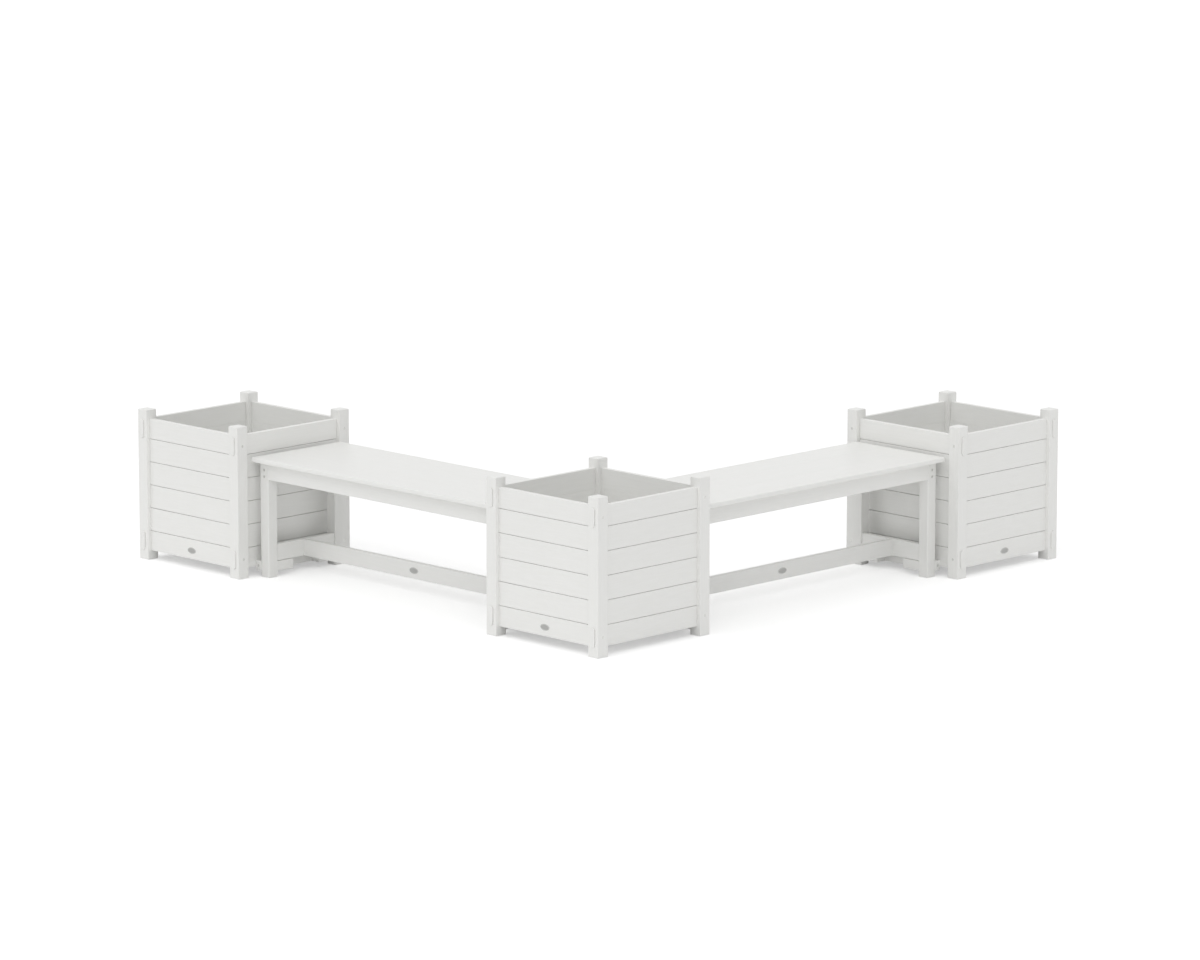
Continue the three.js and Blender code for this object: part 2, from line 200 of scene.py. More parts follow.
def only(obj):
    """Selects this object alone and makes it active."""
    bpy.ops.object.select_all(action="DESELECT")
    obj.select_set(True)
    bpy.context.view_layer.objects.active = obj


def settle(obj):
    """Moves an object's place, turn and scale into its mesh."""
    only(obj)
    bpy.ops.object.transform_apply(location=True, rotation=True, scale=True)


def apply_modifiers(obj):
    only(obj)
    for modifier in list(obj.modifiers):
        bpy.ops.object.modifier_apply(modifier=modifier.name)


def discard(*objects):
    for obj in objects:
        bpy.data.objects.remove(obj)


def box_of(obj):
    corners = [vertex.co for vertex in obj.data.vertices]
    low = Vector(min(c[i] for c in corners) for i in range(3))
    high = Vector(max(c[i] for c in corners) for i in range(3))
    return low, high


def edit(obj):
    only(obj)
    bpy.ops.object.mode_set(mode="EDIT")
    bpy.ops.mesh.select_mode(type="FACE")
    bpy.ops.mesh.select_all(action="DESELECT")


def leave_edit():
    bpy.ops.object.mode_set(mode="OBJECT")


def select_faces(obj, wanted):
    """Selects the faces that `wanted` accepts by their middle and normal."""
    cage = bmesh.from_edit_mesh(obj.data)
    for face in cage.faces:
        face.select_set(False)
    for face in cage.faces:
        if wanted(face.calc_center_median(), face.normal):
            face.select_set(True)
    bmesh.update_edit_mesh(obj.data)


# Shaping


def fitted(low, high):
    """Stretches the unit shape that was just added to fill a box."""
    low, high = Vector(low), Vector(high)
    obj = bpy.context.object
    obj.location = (low + high) / 2
    obj.scale = high - low
    settle(obj)
    return obj


def block(low, high):
    """A block between two corners."""
    bpy.ops.mesh.primitive_cube_add(size=1)
    return fitted(low, high)


def upright_cylinder(low, high, sides):
    """An upright cylinder that fills a box."""
    bpy.ops.mesh.primitive_cylinder_add(vertices=sides, radius=0.5, depth=1)
    return fitted(low, high)


def ease(obj, radius_of, segments=4):
    """Rounds edges: `radius_of` gives an edge's radius from its two ends."""
    mesh = obj.data
    ends = [[mesh.vertices[i].co for i in edge.vertices] for edge in mesh.edges]
    radii = [radius_of(a, b) for a, b in ends]
    widest = max(radii)
    weights = mesh.attributes.new("bevel_weight_edge", "FLOAT", "EDGE")
    weights.data.foreach_set("value", [radius / widest for radius in radii])
    bevel = obj.modifiers.new("easing", "BEVEL")
    bevel.limit_method = "WEIGHT"
    bevel.width = widest
    bevel.segments = segments
    bevel.use_clamp_overlap = True
    apply_modifiers(obj)
    spent = obj.data.attributes.get("bevel_weight_edge")
    if spent:
        obj.data.attributes.remove(spent)


def runs_along(a, b, axis):
    """Whether an edge runs along an axis."""
    return all(abs(a[i] - b[i]) < TOUCH for i in range(3) if i != axis)


def lies_at(a, b, axis, value):
    """Whether both ends of an edge lie at a value on an axis."""
    return abs(a[axis] - value) < TOUCH and abs(b[axis] - value) < TOUCH


def carve(obj, *cutters, operation="DIFFERENCE"):
    """Cuts pieces out of an object, or joins them to it, and clears them away."""
    for cutter in cutters:
        cut = obj.modifiers.new("cut", "BOOLEAN")
        cut.operation = operation
        cut.solver = "EXACT"
        cut.object = cutter
        apply_modifiers(obj)
        discard(cutter)


def grow_ends(obj, axis, length, shares):
    """Draws both end faces out by `length`, narrowed to `shares` of the two other sizes."""
    low, high = box_of(obj)
    middle = (low + high) / 2
    reach = (high - low)[axis] / 2
    narrow, longer = Vector((1, 1, 1)), Vector((1, 1, 1))
    for i, share in shares.items():
        narrow[i] = share
    longer[axis] = (reach + length) / reach
    edit(obj)
    select_faces(obj, lambda centre, normal: abs(abs(centre[axis] - middle[axis]) - reach) < TOUCH)
    for value in (narrow, longer):
        bpy.ops.mesh.extrude_region()
        bpy.ops.transform.resize(value=value, center_override=middle)
    leave_edit()


def dissolve_seams(obj):
    """Takes out the edges between two faces that lie in one plane."""
    edit(obj)
    bpy.ops.mesh.select_all(action="SELECT")
    bpy.ops.mesh.dissolve_limited(angle_limit=math.radians(1))
    leave_edit()


def eased_bar(low, high, axis, easing, end_easing=0.0, segments=4):
    """A bar with rounded long edges, and rounded end edges where `end_easing` is given."""
    obj = block(low, high)
    ends = (low[axis], high[axis])

    def radius(a, b):
        if runs_along(a, b, axis):
            return easing
        return end_easing if any(lies_at(a, b, axis, end) for end in ends) else 0.0

    ease(obj, radius, segments)
    return obj


def pill(low, high, along, width_axis, end_easing=0.0):
    """A bar with a pill's outline: its edges are rounded by half its width."""
    obj = block(low, high)
    radius = (high[width_axis] - low[width_axis]) / 2 - TOUCH
    ease(obj, lambda a, b: radius if runs_along(a, b, along) else 0.0, segments=8)
    if end_easing > 0:
        low_end, high_end = low[along], high[along]

        def end_radius(a, b):
            return end_easing if lies_at(a, b, along, low_end) or lies_at(a, b, along, high_end) else 0.0

        ease(obj, end_radius, segments=3)
    return obj


def smooth(obj):
    """Smooth shading over the eased edges, flat on the faces beside them."""
    only(obj)
    bpy.ops.object.shade_smooth_by_angle(angle=math.radians(40))
    weighted = obj.modifiers.new("flat faces", "WEIGHTED_NORMAL")
    weighted.keep_sharp = True
    apply_modifiers(obj)


def quarter(steps):
    return Matrix.Rotation(steps * math.pi / 2, 4, "Z")


def placed_copy(model, place):
    """A copy with its own mesh, put in place by a matrix."""
    obj = model.copy()
    obj.data = model.data.copy()
    bpy.context.collection.objects.link(obj)
    obj.data.transform(place)
    return obj


def hand_over(obj, name, material=None, stands_for=None):
    """Names a finished piece and ties it to the frame. Without a material it keeps its own."""
    obj.name = name
    obj.data.name = name
    if material:
        obj.data.materials.clear()
        obj.data.materials.append(material)
    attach(obj, BODY)
    if stands_for:
        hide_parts(stands_for)


# Materials


def connect(tree, made, **links):
    """Sets a node's inputs to values, or links them to other nodes' outputs."""
    for key, value in links.items():
        socket = made.inputs[int(key[1:])] if key[1:].isdigit() else made.inputs[key.replace("_", " ")]
        if isinstance(value, bpy.types.NodeSocket):
            tree.links.new(value, socket)
        else:
            socket.default_value = value


def node(tree, kind, settings=None, **links):
    """Adds a shader node with its settings, and connects its inputs."""
    made = tree.nodes.new("ShaderNode" + kind)
    for key, value in (settings or {}).items():
        setattr(made, key, value)
    connect(tree, made, **links)
    return made


def empty_tree(owner):
    """The node tree of a new material or world, without the nodes that it comes with."""
    owner.use_nodes = True
    owner.node_tree.nodes.clear()
    return owner.node_tree


def new_material(name):
    """A node material with only its shader and its output."""
    material = bpy.data.materials.new(name)
    tree = empty_tree(material)
    shader = node(tree, "BsdfPrincipled")
    node(tree, "OutputMaterial", Surface=shader.outputs[0])
    return material, tree, shader


def plastic_lumber(along):
    """HDPE lumber, extruded and then embossed with a faint wood grain between rollers.

    Solid white plastic with a soft satin sheen: the light rolls off its eased edges without a sharp
    glint, and the grain shows as short pale streaks along each board.
    """
    name = "embossed_hdpe_lumber_" + "xyz"[along]
    if name in bpy.data.materials:
        return bpy.data.materials[name]
    finishes = bpy.context.scene.bench_finishes
    material, tree, shader = new_material(name)
    place = node(tree, "TexCoord").outputs["Object"]

    def stretched(across, length):
        """Object coordinates in which one unit is `across` wide and `length` long, in metres."""
        scale = [1 / across] * 3
        scale[along] = 1 / length
        return node(tree, "Mapping", Vector=place, Scale=scale).outputs[0]

    # Embossed lines are 1 to 2 mm apart. They are drawn about 5 mm apart, so that they still show.
    wide, broad, narrow = stretched(mm(5), mm(90)), stretched(mm(38), mm(420)), stretched(mm(1.4), mm(16))
    steps, ring_turns, ring_share, fine_share = finishes.grain_steps, 34.0, 0.16, 0.5
    streaks = node(tree, "TexNoise", Vector=wide, Scale=1.0, Detail=steps, Roughness=0.62).outputs[0]
    figure = node(tree, "TexNoise", Vector=broad, Scale=1.0, Detail=2.0, Distortion=0.6).outputs[0]
    fine = node(tree, "TexNoise", Vector=narrow, Scale=1.0, Detail=2.0).outputs[0]
    turns = node(tree, "Math", {"operation": "MULTIPLY"}, _0=figure, _1=ring_turns).outputs[0]
    rings = node(tree, "Math", {"operation": "SINE"}, _0=turns).outputs[0]
    grain = node(tree, "MapRange", Value=streaks, From_Min=0.32, From_Max=0.68).outputs[0]
    weighted = {"operation": "MULTIPLY_ADD"}
    texture = node(tree, "Math", weighted, _0=fine, _1=fine_share, _2=grain).outputs[0]
    relief = node(tree, "Math", weighted, _0=rings, _1=ring_share, _2=texture).outputs[0]
    share = node(tree, "MapRange", Value=relief, From_Min=-0.1, From_Max=1.7).outputs[0]
    deep, light = finishes.lumber_deep, finishes.lumber_light
    tint = node(tree, "Mix", {"data_type": "RGBA"}, _0=share, _6=deep, _7=light)
    sheen = node(tree, "MapRange", Value=relief, From_Max=1.6, To_Min=0.42, To_Max=0.33)
    bump = node(tree, "Bump", Height=relief, Strength=0.2, Distance=mm(0.25))
    connect(tree, shader, Base_Color=tint.outputs[2], Roughness=sheen.outputs[0], IOR=1.54)
    connect(tree, shader, Normal=bump.outputs[0])
    return material


def stainless_steel():
    """Stainless steel, cold headed and tumbled: a dull grey gleam with fine random scratches."""
    material, tree, shader = new_material("tumbled_stainless_steel")
    connect(tree, shader, Metallic=1.0, Base_Color=bpy.context.scene.bench_finishes.screw_metal)
    place = node(tree, "TexCoord").outputs["Object"]
    scratches = node(tree, "TexNoise", Vector=place, Scale=1 / mm(0.8), Detail=3.0).outputs[0]
    dullness = node(tree, "MapRange", Value=scratches, To_Min=0.3, To_Max=0.5)
    bump = node(tree, "Bump", Height=scratches, Strength=0.2, Distance=mm(0.05))
    connect(tree, shader, Roughness=dullness.outputs[0], Normal=bump.outputs[0])
    return material


def nickel(name, colour, dull):
    """Zinc, cast and nickel plated: a soft grey gleam with faint brushed lines along the plate.

    The rim is rubbed bright and the field inside it is left duller, so that the rim stands out.
    """
    material, tree, shader = new_material(name)
    connect(tree, shader, Metallic=1.0)
    place = node(tree, "TexCoord").outputs["Object"]
    # Brush lines are under 0.1 mm. They are drawn 0.5 mm apart, so that they still show.
    wide = node(tree, "Mapping", Vector=place, Scale=(1 / mm(12), 1 / mm(12), 1 / mm(0.5)))
    lines = node(tree, "TexNoise", Vector=wide.outputs[0], Scale=1.0, Detail=3.0).outputs[0]
    darker_share, swing = 0.8, 0.08
    darker = [c * darker_share for c in colour[:3]] + [1]
    tint = node(tree, "Mix", {"data_type": "RGBA"}, _0=lines, _6=darker, _7=colour)
    roughness = node(tree, "MapRange", Value=lines, To_Min=dull - swing, To_Max=dull + swing)
    bump = node(tree, "Bump", Height=lines, Strength=0.25, Distance=mm(0.05))
    connect(tree, shader, Base_Color=tint.outputs[2], Roughness=roughness.outputs[0])
    connect(tree, shader, Normal=bump.outputs[0])
    return material


# Places in the frame


def ground_point(first, last=None):
    """The point on the ground under the middle of a node, or of all that lies from it to another."""
    low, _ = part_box(first)
    _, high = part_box(last or first)
    return Vector(((low.x + high.x) / 2, (low.y + high.y) / 2, 0))


def planter_centre(planter):
    return ground_point(planter + "_post_front", planter + "_post_back")


def planter_side():
    low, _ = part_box("corner_post_front")
    _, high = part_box("corner_post_back")
    return high.x - low.x


def post_width():
    low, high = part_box("corner_post_front")
    return high.x - low.x


def wall_levels():
    low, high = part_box("corner_wall_front_left")
    return low.z, high.z


def board_thickness():
    low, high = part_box("corner_wall_front_left")
    return high.x - low.x


def tenon_levels():
    sizes = bpy.context.scene.bench_planter
    bottom, top = wall_levels()
    return bottom + sizes.outer_board / 2, top - sizes.outer_board / 2


def has_tenons(planter, turn):
    """Whether the wall after that many quarter turns has the through tenons."""
    return (turn % 2 == 0) == (planter in TENONS_ALONG_X)


def bench_centre(bench):
    return ground_point(bench + "_seat_plank_middle")


def fitting_place(point, normal):
    """The matrix that puts a fitting modelled on the floor, facing up, onto a face."""
    turn = Vector(normal).to_track_quat("Z", "Y").to_matrix().to_4x4()
    return Matrix.Translation(point) @ turn


def leg_screws(leg):
    """Where the two screws of a leg of the right bench's front sit, and which way they face."""
    sizes = bpy.context.scene.bench_fittings
    low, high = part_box("right_bench_" + leg)
    _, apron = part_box("right_bench_apron_front")
    middle = (low.x + high.x) / 2
    drops = {"high": sizes.leg_screw_high, "low": sizes.leg_screw_low}
    return {step: (Vector((middle, low.y, apron.z - drop)), RIGHTWARD) for step, drop in drops.items()}


def tie_screws():
    """The same for the two ends of the right bench's outer tie rail."""
    low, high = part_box("right_bench_tie_rail_outer")
    across = high.x - bpy.context.scene.bench_fittings.tie_screw_inset
    level = (low.z + high.z) / 2
    return {
        "front": (Vector((across, low.y, level)), RIGHTWARD),
        "back": (Vector((across, high.y, level)), Vector((0, 1, 0))),
    }


def screw_holes(places):
    """Cutters for the holes that screws' heads sit in."""
    sizes = bpy.context.scene.bench_fittings
    radius = sizes.screw_hole / 2
    depth = sizes.screw_cover + sizes.screw_rise
    holes = []
    for point, normal in places:
        hole = upright_cylinder((-radius, -radius, -depth), (radius, radius, depth), sides=32)
        hole.data.transform(fitting_place(point, normal))
        holes.append(hole)
    return holes


# Operators


class BENCHSET_OT_planter_posts(bpy.types.Operator):
    """Models the planters' square posts, with grooves for the boards and holes for the tenons"""

    bl_idname = "bench_set.planter_posts"
    bl_label = "Planter Posts"

    def model(self, tenon_axis):
        """A front post about its own axis. Its walls run towards +X and +Y."""
        sizes = bpy.context.scene.bench_planter
        half = post_width() / 2
        low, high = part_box("corner_post_front")
        post = block((-half, -half, low.z), (half, half, high.z))

        def radius(a, b):
            if runs_along(a, b, Z):
                return sizes.post_easing
            return sizes.post_crown if lies_at(a, b, Z, high.z) else sizes.post_foot_easing

        ease(post, radius, segments=6)
        bottom, top = wall_levels()
        groove = sizes.tongue_thickness / 2 + FIT_GAP
        depth = half - sizes.tongue_length - FIT_GAP
        out = half + CUT_OVERRUN
        start, end = bottom + GROOVE_INSET, top - GROOVE_INSET
        carve(
            post,
            block((depth, -groove, start), (out, groove, end)),
            block((-groove, depth, start), (groove, out, end)),
        )
        width = sizes.tenon_thickness / 2 + sizes.tenon_gap
        height = sizes.tenon_height / 2 + FIT_GAP
        for level in tenon_levels():
            start, end = [-width, -width, level - height], [width, width, level + height]
            start[tenon_axis], end[tenon_axis] = -out, out
            carve(post, pill(start, end, tenon_axis, X + Y - tenon_axis))
            # The tenon's screw comes in from the outer face beside it.
            side = RIGHTWARD if tenon_axis == X else LEFTWARD
            carve(post, *screw_holes([(side * half + Vector((0, 0, level)), side)]))
        smooth(post)
        return post

    def execute(self, context):
        models = {X: self.model(X), Y: self.model(Y)}
        for planter in PLANTERS:
            for name, turn in POST_TURNS.items():
                own_axis = X if planter in TENONS_ALONG_X else Y
                axis = own_axis if turn % 2 == 0 else X + Y - own_axis
                stands_for = f"{planter}_post_{name}"
                post = placed_copy(models[axis], Matrix.Translation(ground_point(stands_for)) @ quarter(turn))
                hand_over(post, f"{planter}_{name}_post", plastic_lumber(Z), stands_for)
        discard(*models.values())
        return {"FINISHED"}


class BENCHSET_OT_wall_boards(bpy.types.Operator):
    """Models the planters' wall boards: rabbeted, eased, with tongues and through tenons"""

    bl_idname = "bench_set.wall_boards"
    bl_label = "Wall Boards"

    def model(self, low, high, at_bottom, at_top, tenoned):
        """A board of the front right wall of a planter at the origin, from `low` to `high`."""
        sizes = bpy.context.scene.bench_planter
        side, width, thickness = planter_side(), post_width(), board_thickness()
        reach = side / 2 - width - FIT_GAP
        middle_y = -(side - width) / 2
        face, inside = middle_y - thickness / 2, middle_y + thickness / 2
        shoulder = face + sizes.reveal_depth
        rabbet = sizes.reveal_width / 2
        outer_low = low if at_bottom else low + rabbet
        outer_high = high if at_top else high - rabbet
        inner_low = low if at_bottom else low + BOARD_JOINT
        inner_high = high if at_top else high - BOARD_JOINT
        board = block((-reach, face, outer_low), (reach, shoulder, outer_high))
        # Behind the reveals the board is taller. The level `fixed` stays where it is as it grows.
        growth = (inner_high - inner_low) / (outer_high - outer_low)
        fixed = (inner_low - growth * outer_low) / (1 - growth)
        edit(board)
        select_faces(board, lambda centre, normal: normal.y > FACING)
        bpy.ops.mesh.extrude_region()
        bpy.ops.transform.resize(value=(1, 1, growth), center_override=(0, shoulder, fixed))
        bpy.ops.mesh.extrude_region()
        bpy.ops.transform.translate(value=(0, inside - shoulder, 0))
        leave_edit()

        def radius(a, b):
            if not runs_along(a, b, X):
                return 0.0
            if lies_at(a, b, Y, face):
                return sizes.board_easing
            wall_edge = (at_bottom and lies_at(a, b, Z, low)) or (at_top and lies_at(a, b, Z, high))
            if lies_at(a, b, Y, inside):
                return sizes.board_easing if wall_edge else INNER_EASING
            return 0.0

        ease(board, radius)
        tongue = sizes.tongue_thickness / thickness
        inset = 1 - 2 * TONGUE_INSET / (high - low) if at_bottom or at_top else 1
        grow_ends(board, X, sizes.tongue_length + FIT_GAP, {Y: tongue, Z: inset})
        if tenoned:
            level = (low + high) / 2
            out = side / 2 + sizes.tenon_proud
            tall, thick = sizes.tenon_height / 2, sizes.tenon_thickness / 2
            start, end = (-out, middle_y - thick, level - tall), (out, middle_y + thick, level + tall)
            carve(board, pill(start, end, X, Y, sizes.tenon_easing), operation="UNION")
        if at_bottom:
            panel_low, panel_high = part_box("corner_floor_panel")
            start = (-reach - FIT_GAP, inside - sizes.floor_groove - FIT_GAP, panel_low.z - FIT_GAP)
            end = (reach + FIT_GAP, inside + CUT_OVERRUN, panel_high.z + FIT_GAP)
            carve(board, block(start, end))
        smooth(board)
        return board

    def execute(self, context):
        sizes = context.scene.bench_planter
        bottom, top = wall_levels()
        levels = [bottom]
        height = bottom + sizes.outer_board
        while height < top - TOUCH:
            levels.append(height)
            height += sizes.middle_board
        levels.append(top)
        last = len(levels) - 2
        models = {}
        for i, (low, high) in enumerate(zip(levels, levels[1:])):
            at_bottom, at_top = i == 0, i == last
            models[i, False] = models[i, True] = self.model(low, high, at_bottom, at_top, False)
            if at_bottom or at_top:
                models[i, True] = self.model(low, high, at_bottom, at_top, True)
        for planter in PLANTERS:
            for name, turn in WALL_TURNS.items():
                place = Matrix.Translation(planter_centre(planter)) @ quarter(turn)
                for i in range(last + 1):
                    board = placed_copy(models[i, has_tenons(planter, turn)], place)
                    lumber = plastic_lumber(X if turn % 2 == 0 else Y)
                    own_name, stands_for = f"{planter}_{name}_board_{i + 1}", f"{planter}_wall_{name}"
                    hand_over(board, own_name, lumber, stands_for)
        discard(*set(models.values()))
        return {"FINISHED"}


class BENCHSET_OT_floor_panels(bpy.types.Operator):
    """Models the planters' floor panels, notched round the posts and drilled for water"""

    bl_idname = "bench_set.floor_panels"
    bl_label = "Floor Panels"

    def execute(self, context):
        sizes = context.scene.bench_planter
        low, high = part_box("corner_floor_panel")
        centre = planter_centre("corner")
        panel = eased_bar(low, high, Z, PANEL_EASING, PANEL_RIM_EASING, segments=3)
        inner = planter_side() / 2 - post_width() - FIT_GAP
        under, over = low.z - PANEL_OVERRUN, high.z + PANEL_OVERRUN
        corners = [(x, y) for x in (-1, 1) for y in (-1, 1)]
        for x, y in corners:
            near = centre + Vector((x * inner, y * inner, 0))
            far = centre + Vector((x, y, 0)) * ((high - low).x / 2 + PANEL_OVERRUN)
            start = (min(near.x, far.x), min(near.y, far.y), under)
            end = (max(near.x, far.x), max(near.y, far.y), over)
            carve(panel, block(start, end))
        radius = sizes.drain_hole / 2
        for x, y in [(0, 0)] + [(x * inner / 2, y * inner / 2) for x, y in corners]:
            place = centre + Vector((x, y, 0))
            start = (place.x - radius, place.y - radius, under)
            end = (place.x + radius, place.y + radius, over)
            carve(panel, upright_cylinder(start, end, sides=32))
        smooth(panel)
        for planter in PLANTERS:
            copy = placed_copy(panel, Matrix.Translation(planter_centre(planter) - centre))
            stands_for = planter + "_floor_panel"
            hand_over(copy, planter + "_floor_board", plastic_lumber(X), stands_for)
        discard(panel)
        return {"FINISHED"}


def bench_copies(model, right_name, single=False):
    """Copies a piece of the right bench to both benches, and to both sides of each unless it is single.

    Gives each copy with its bench and its name there.
    """
    here, there = bench_centre("right_bench"), bench_centre("left_bench")
    opposite = "_".join(OTHER_SIDE.get(word, word) for word in right_name.split("_"))
    to_left = Matrix.Translation(there) @ quarter(1) @ Matrix.Translation(-here)
    half_turn = Matrix.Translation(here) @ quarter(2) @ Matrix.Translation(-here)
    rows = [("right_bench", right_name, Matrix.Identity(4)), ("left_bench", right_name, to_left)]
    if not single:
        rows += [("right_bench", opposite, half_turn), ("left_bench", opposite, to_left @ half_turn)]
    copies = []
    for bench, name, place in rows:
        if bench == "left_bench":
            # The left bench is turned, so that its front and back change sides.
            name = "_".join(OTHER_SIDE[w] if w in ("front", "back") else w for w in name.split("_"))
        copies.append((bench, name, placed_copy(model, place)))
    discard(model)
    return copies


def hand_over_benches(model, right_name, along, single=False):
    """Smooths a piece of the right bench and hands it over in all its places on both benches."""
    smooth(model)
    for bench, name, piece in bench_copies(model, right_name, single):
        axis = along if bench == "right_bench" or along == Z else X + Y - along
        hand_over(piece, f"{bench}_{name}_piece", plastic_lumber(axis), f"{bench}_{name}")


class BENCHSET_OT_seat_planks(bpy.types.Operator):
    """Models the seats' planks with rounded outer edges"""

    bl_idname = "bench_set.seat_planks"
    bl_label = "Seat Planks"

    def execute(self, context):
        sizes = context.scene.bench_sizes
        for name in ("front", "middle"):
            low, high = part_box("right_bench_seat_plank_" + name)
            plank = block(low, high)

            def radius(a, b):
                at_end = lies_at(a, b, X, low.x) or lies_at(a, b, X, high.x)
                at_front = name == "front" and lies_at(a, b, Y, low.y)
                if runs_along(a, b, Z):
                    return sizes.seat_easing if at_front else sizes.plank_easing
                return sizes.seat_easing if at_end or at_front else sizes.plank_easing

            ease(plank, radius, segments=5)
            hand_over_benches(plank, "seat_plank_" + name, X, single=name == "middle")
        return {"FINISHED"}


class BENCHSET_OT_bench_rails(bpy.types.Operator):
    """Models the benches' aprons and stretchers with their tenons"""

    bl_idname = "bench_set.bench_rails"
    bl_label = "Bench Rails"

    def rail(self, name, axis, tenon):
        """A rail of the right bench along an axis, with tenons of a given length."""
        sizes = bpy.context.scene.bench_sizes
        low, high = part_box("right_bench_" + name)
        thin, size = X + Y - axis, high - low
        shares = {thin: sizes.tenon_thickness / size[thin], Z: 1 - 2 * sizes.tenon_inset / size.z}
        reach = tenon + FIT_GAP
        low[axis] += reach
        high[axis] -= reach
        bar = eased_bar(low, high, axis, sizes.rail_easing)
        grow_ends(bar, axis, reach, shares)
        return bar

    def execute(self, context):
        sizes = context.scene.bench_sizes
        for name, axis in (("apron_front", X), ("apron_inner", Y)):
            bar = self.rail(name, axis, sizes.tenon_length)
            hand_over_benches(bar, name, axis)
        bar = self.rail("stretcher_inner", Y, sizes.tenon_length)
        low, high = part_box("right_bench_stretcher_long")
        thick = sizes.tenon_thickness / 2 + FIT_GAP
        middle = bench_centre("right_bench").y
        start = (low.x - FIT_GAP, middle - thick, low.z + sizes.tenon_inset - FIT_GAP)
        end = (low.x + SOCKET_REACH, middle + thick, high.z - sizes.tenon_inset + FIT_GAP)
        carve(bar, block(start, end))
        hand_over_benches(bar, "stretcher_inner", Y)
        bar = self.rail("stretcher_long", X, sizes.long_tenon_length)
        hand_over_benches(bar, "stretcher_long", X, single=True)
        return {"FINISHED"}


class BENCHSET_OT_bench_legs(bpy.types.Operator):
    """Models the benches' legs, mortised for the rails"""

    bl_idname = "bench_set.bench_legs"
    bl_label = "Bench Legs"

    def mortise(self, rail):
        """A cutter a little larger than a rail's tenons."""
        sizes = bpy.context.scene.bench_sizes
        low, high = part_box("right_bench_" + rail)
        long_axis = X if high.x - low.x > high.y - low.y else Y
        thin = X + Y - long_axis
        middle = (low + high) / 2
        start, end = low.copy(), high.copy()
        start[thin] = middle[thin] - sizes.tenon_thickness / 2 - FIT_GAP
        end[thin] = middle[thin] + sizes.tenon_thickness / 2 + FIT_GAP
        start.z += sizes.tenon_inset - FIT_GAP
        end.z -= sizes.tenon_inset - FIT_GAP
        start[long_axis] -= FIT_GAP
        end[long_axis] += FIT_GAP
        return block(start, end)

    def execute(self, context):
        sizes = context.scene.bench_sizes
        rails = {
            "leg_inner_front": ("apron_front", "apron_inner", "stretcher_inner"),
            "leg_outer_front": ("apron_front", "apron_outer", "stretcher_outer"),
        }
        for name, meeting in rails.items():
            low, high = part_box("right_bench_" + name)
            leg = eased_bar(low, high, Z, sizes.leg_easing, LEG_END_EASING)
            carve(leg, *(self.mortise(rail) for rail in meeting), *screw_holes(leg_screws(name).values()))
            hand_over_benches(leg, name, Z)
        return {"FINISHED"}


class BENCHSET_OT_tie_rails(bpy.types.Operator):
    """Models the notched tie rails between the benches and the planters"""

    bl_idname = "bench_set.tie_rails"
    bl_label = "Tie Rails"

    def execute(self, context):
        sizes = context.scene.bench_sizes
        low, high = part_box("right_bench_tie_rail_outer")
        _, leg_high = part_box("right_bench_leg_outer_front")
        middle = bench_centre("right_bench").y
        near = leg_high.x + FIT_GAP
        bar = block((near, low.y, low.z), high)
        block_outer = middle - leg_high.y - FIT_GAP
        block_inner = sizes.tie_notch / 2
        edit(bar)
        for y in (-block_outer, -block_inner, block_inner, block_outer):
            bpy.ops.mesh.select_all(action="SELECT")
            bpy.ops.mesh.bisect(plane_co=(0, middle + y, 0), plane_no=(0, 1, 0))

        def block_face(centre, normal):
            return normal.x < -FACING and block_inner < abs(centre.y - middle) < block_outer

        select_faces(bar, block_face)
        bpy.ops.mesh.extrude_region()
        bpy.ops.transform.translate(value=(low.x - near, 0, 0))
        leave_edit()
        dissolve_seams(bar)

        def radius(a, b):
            upright = runs_along(a, b, Z)
            inner_corner = upright and lies_at(a, b, X, near) and a.y not in (low.y, high.y)
            return 0.0 if inner_corner else sizes.rail_easing

        ease(bar, radius, segments=3)
        carve(bar, *screw_holes(tie_screws().values()))
        hand_over_benches(bar, "tie_rail_outer", Y)
        return {"FINISHED"}


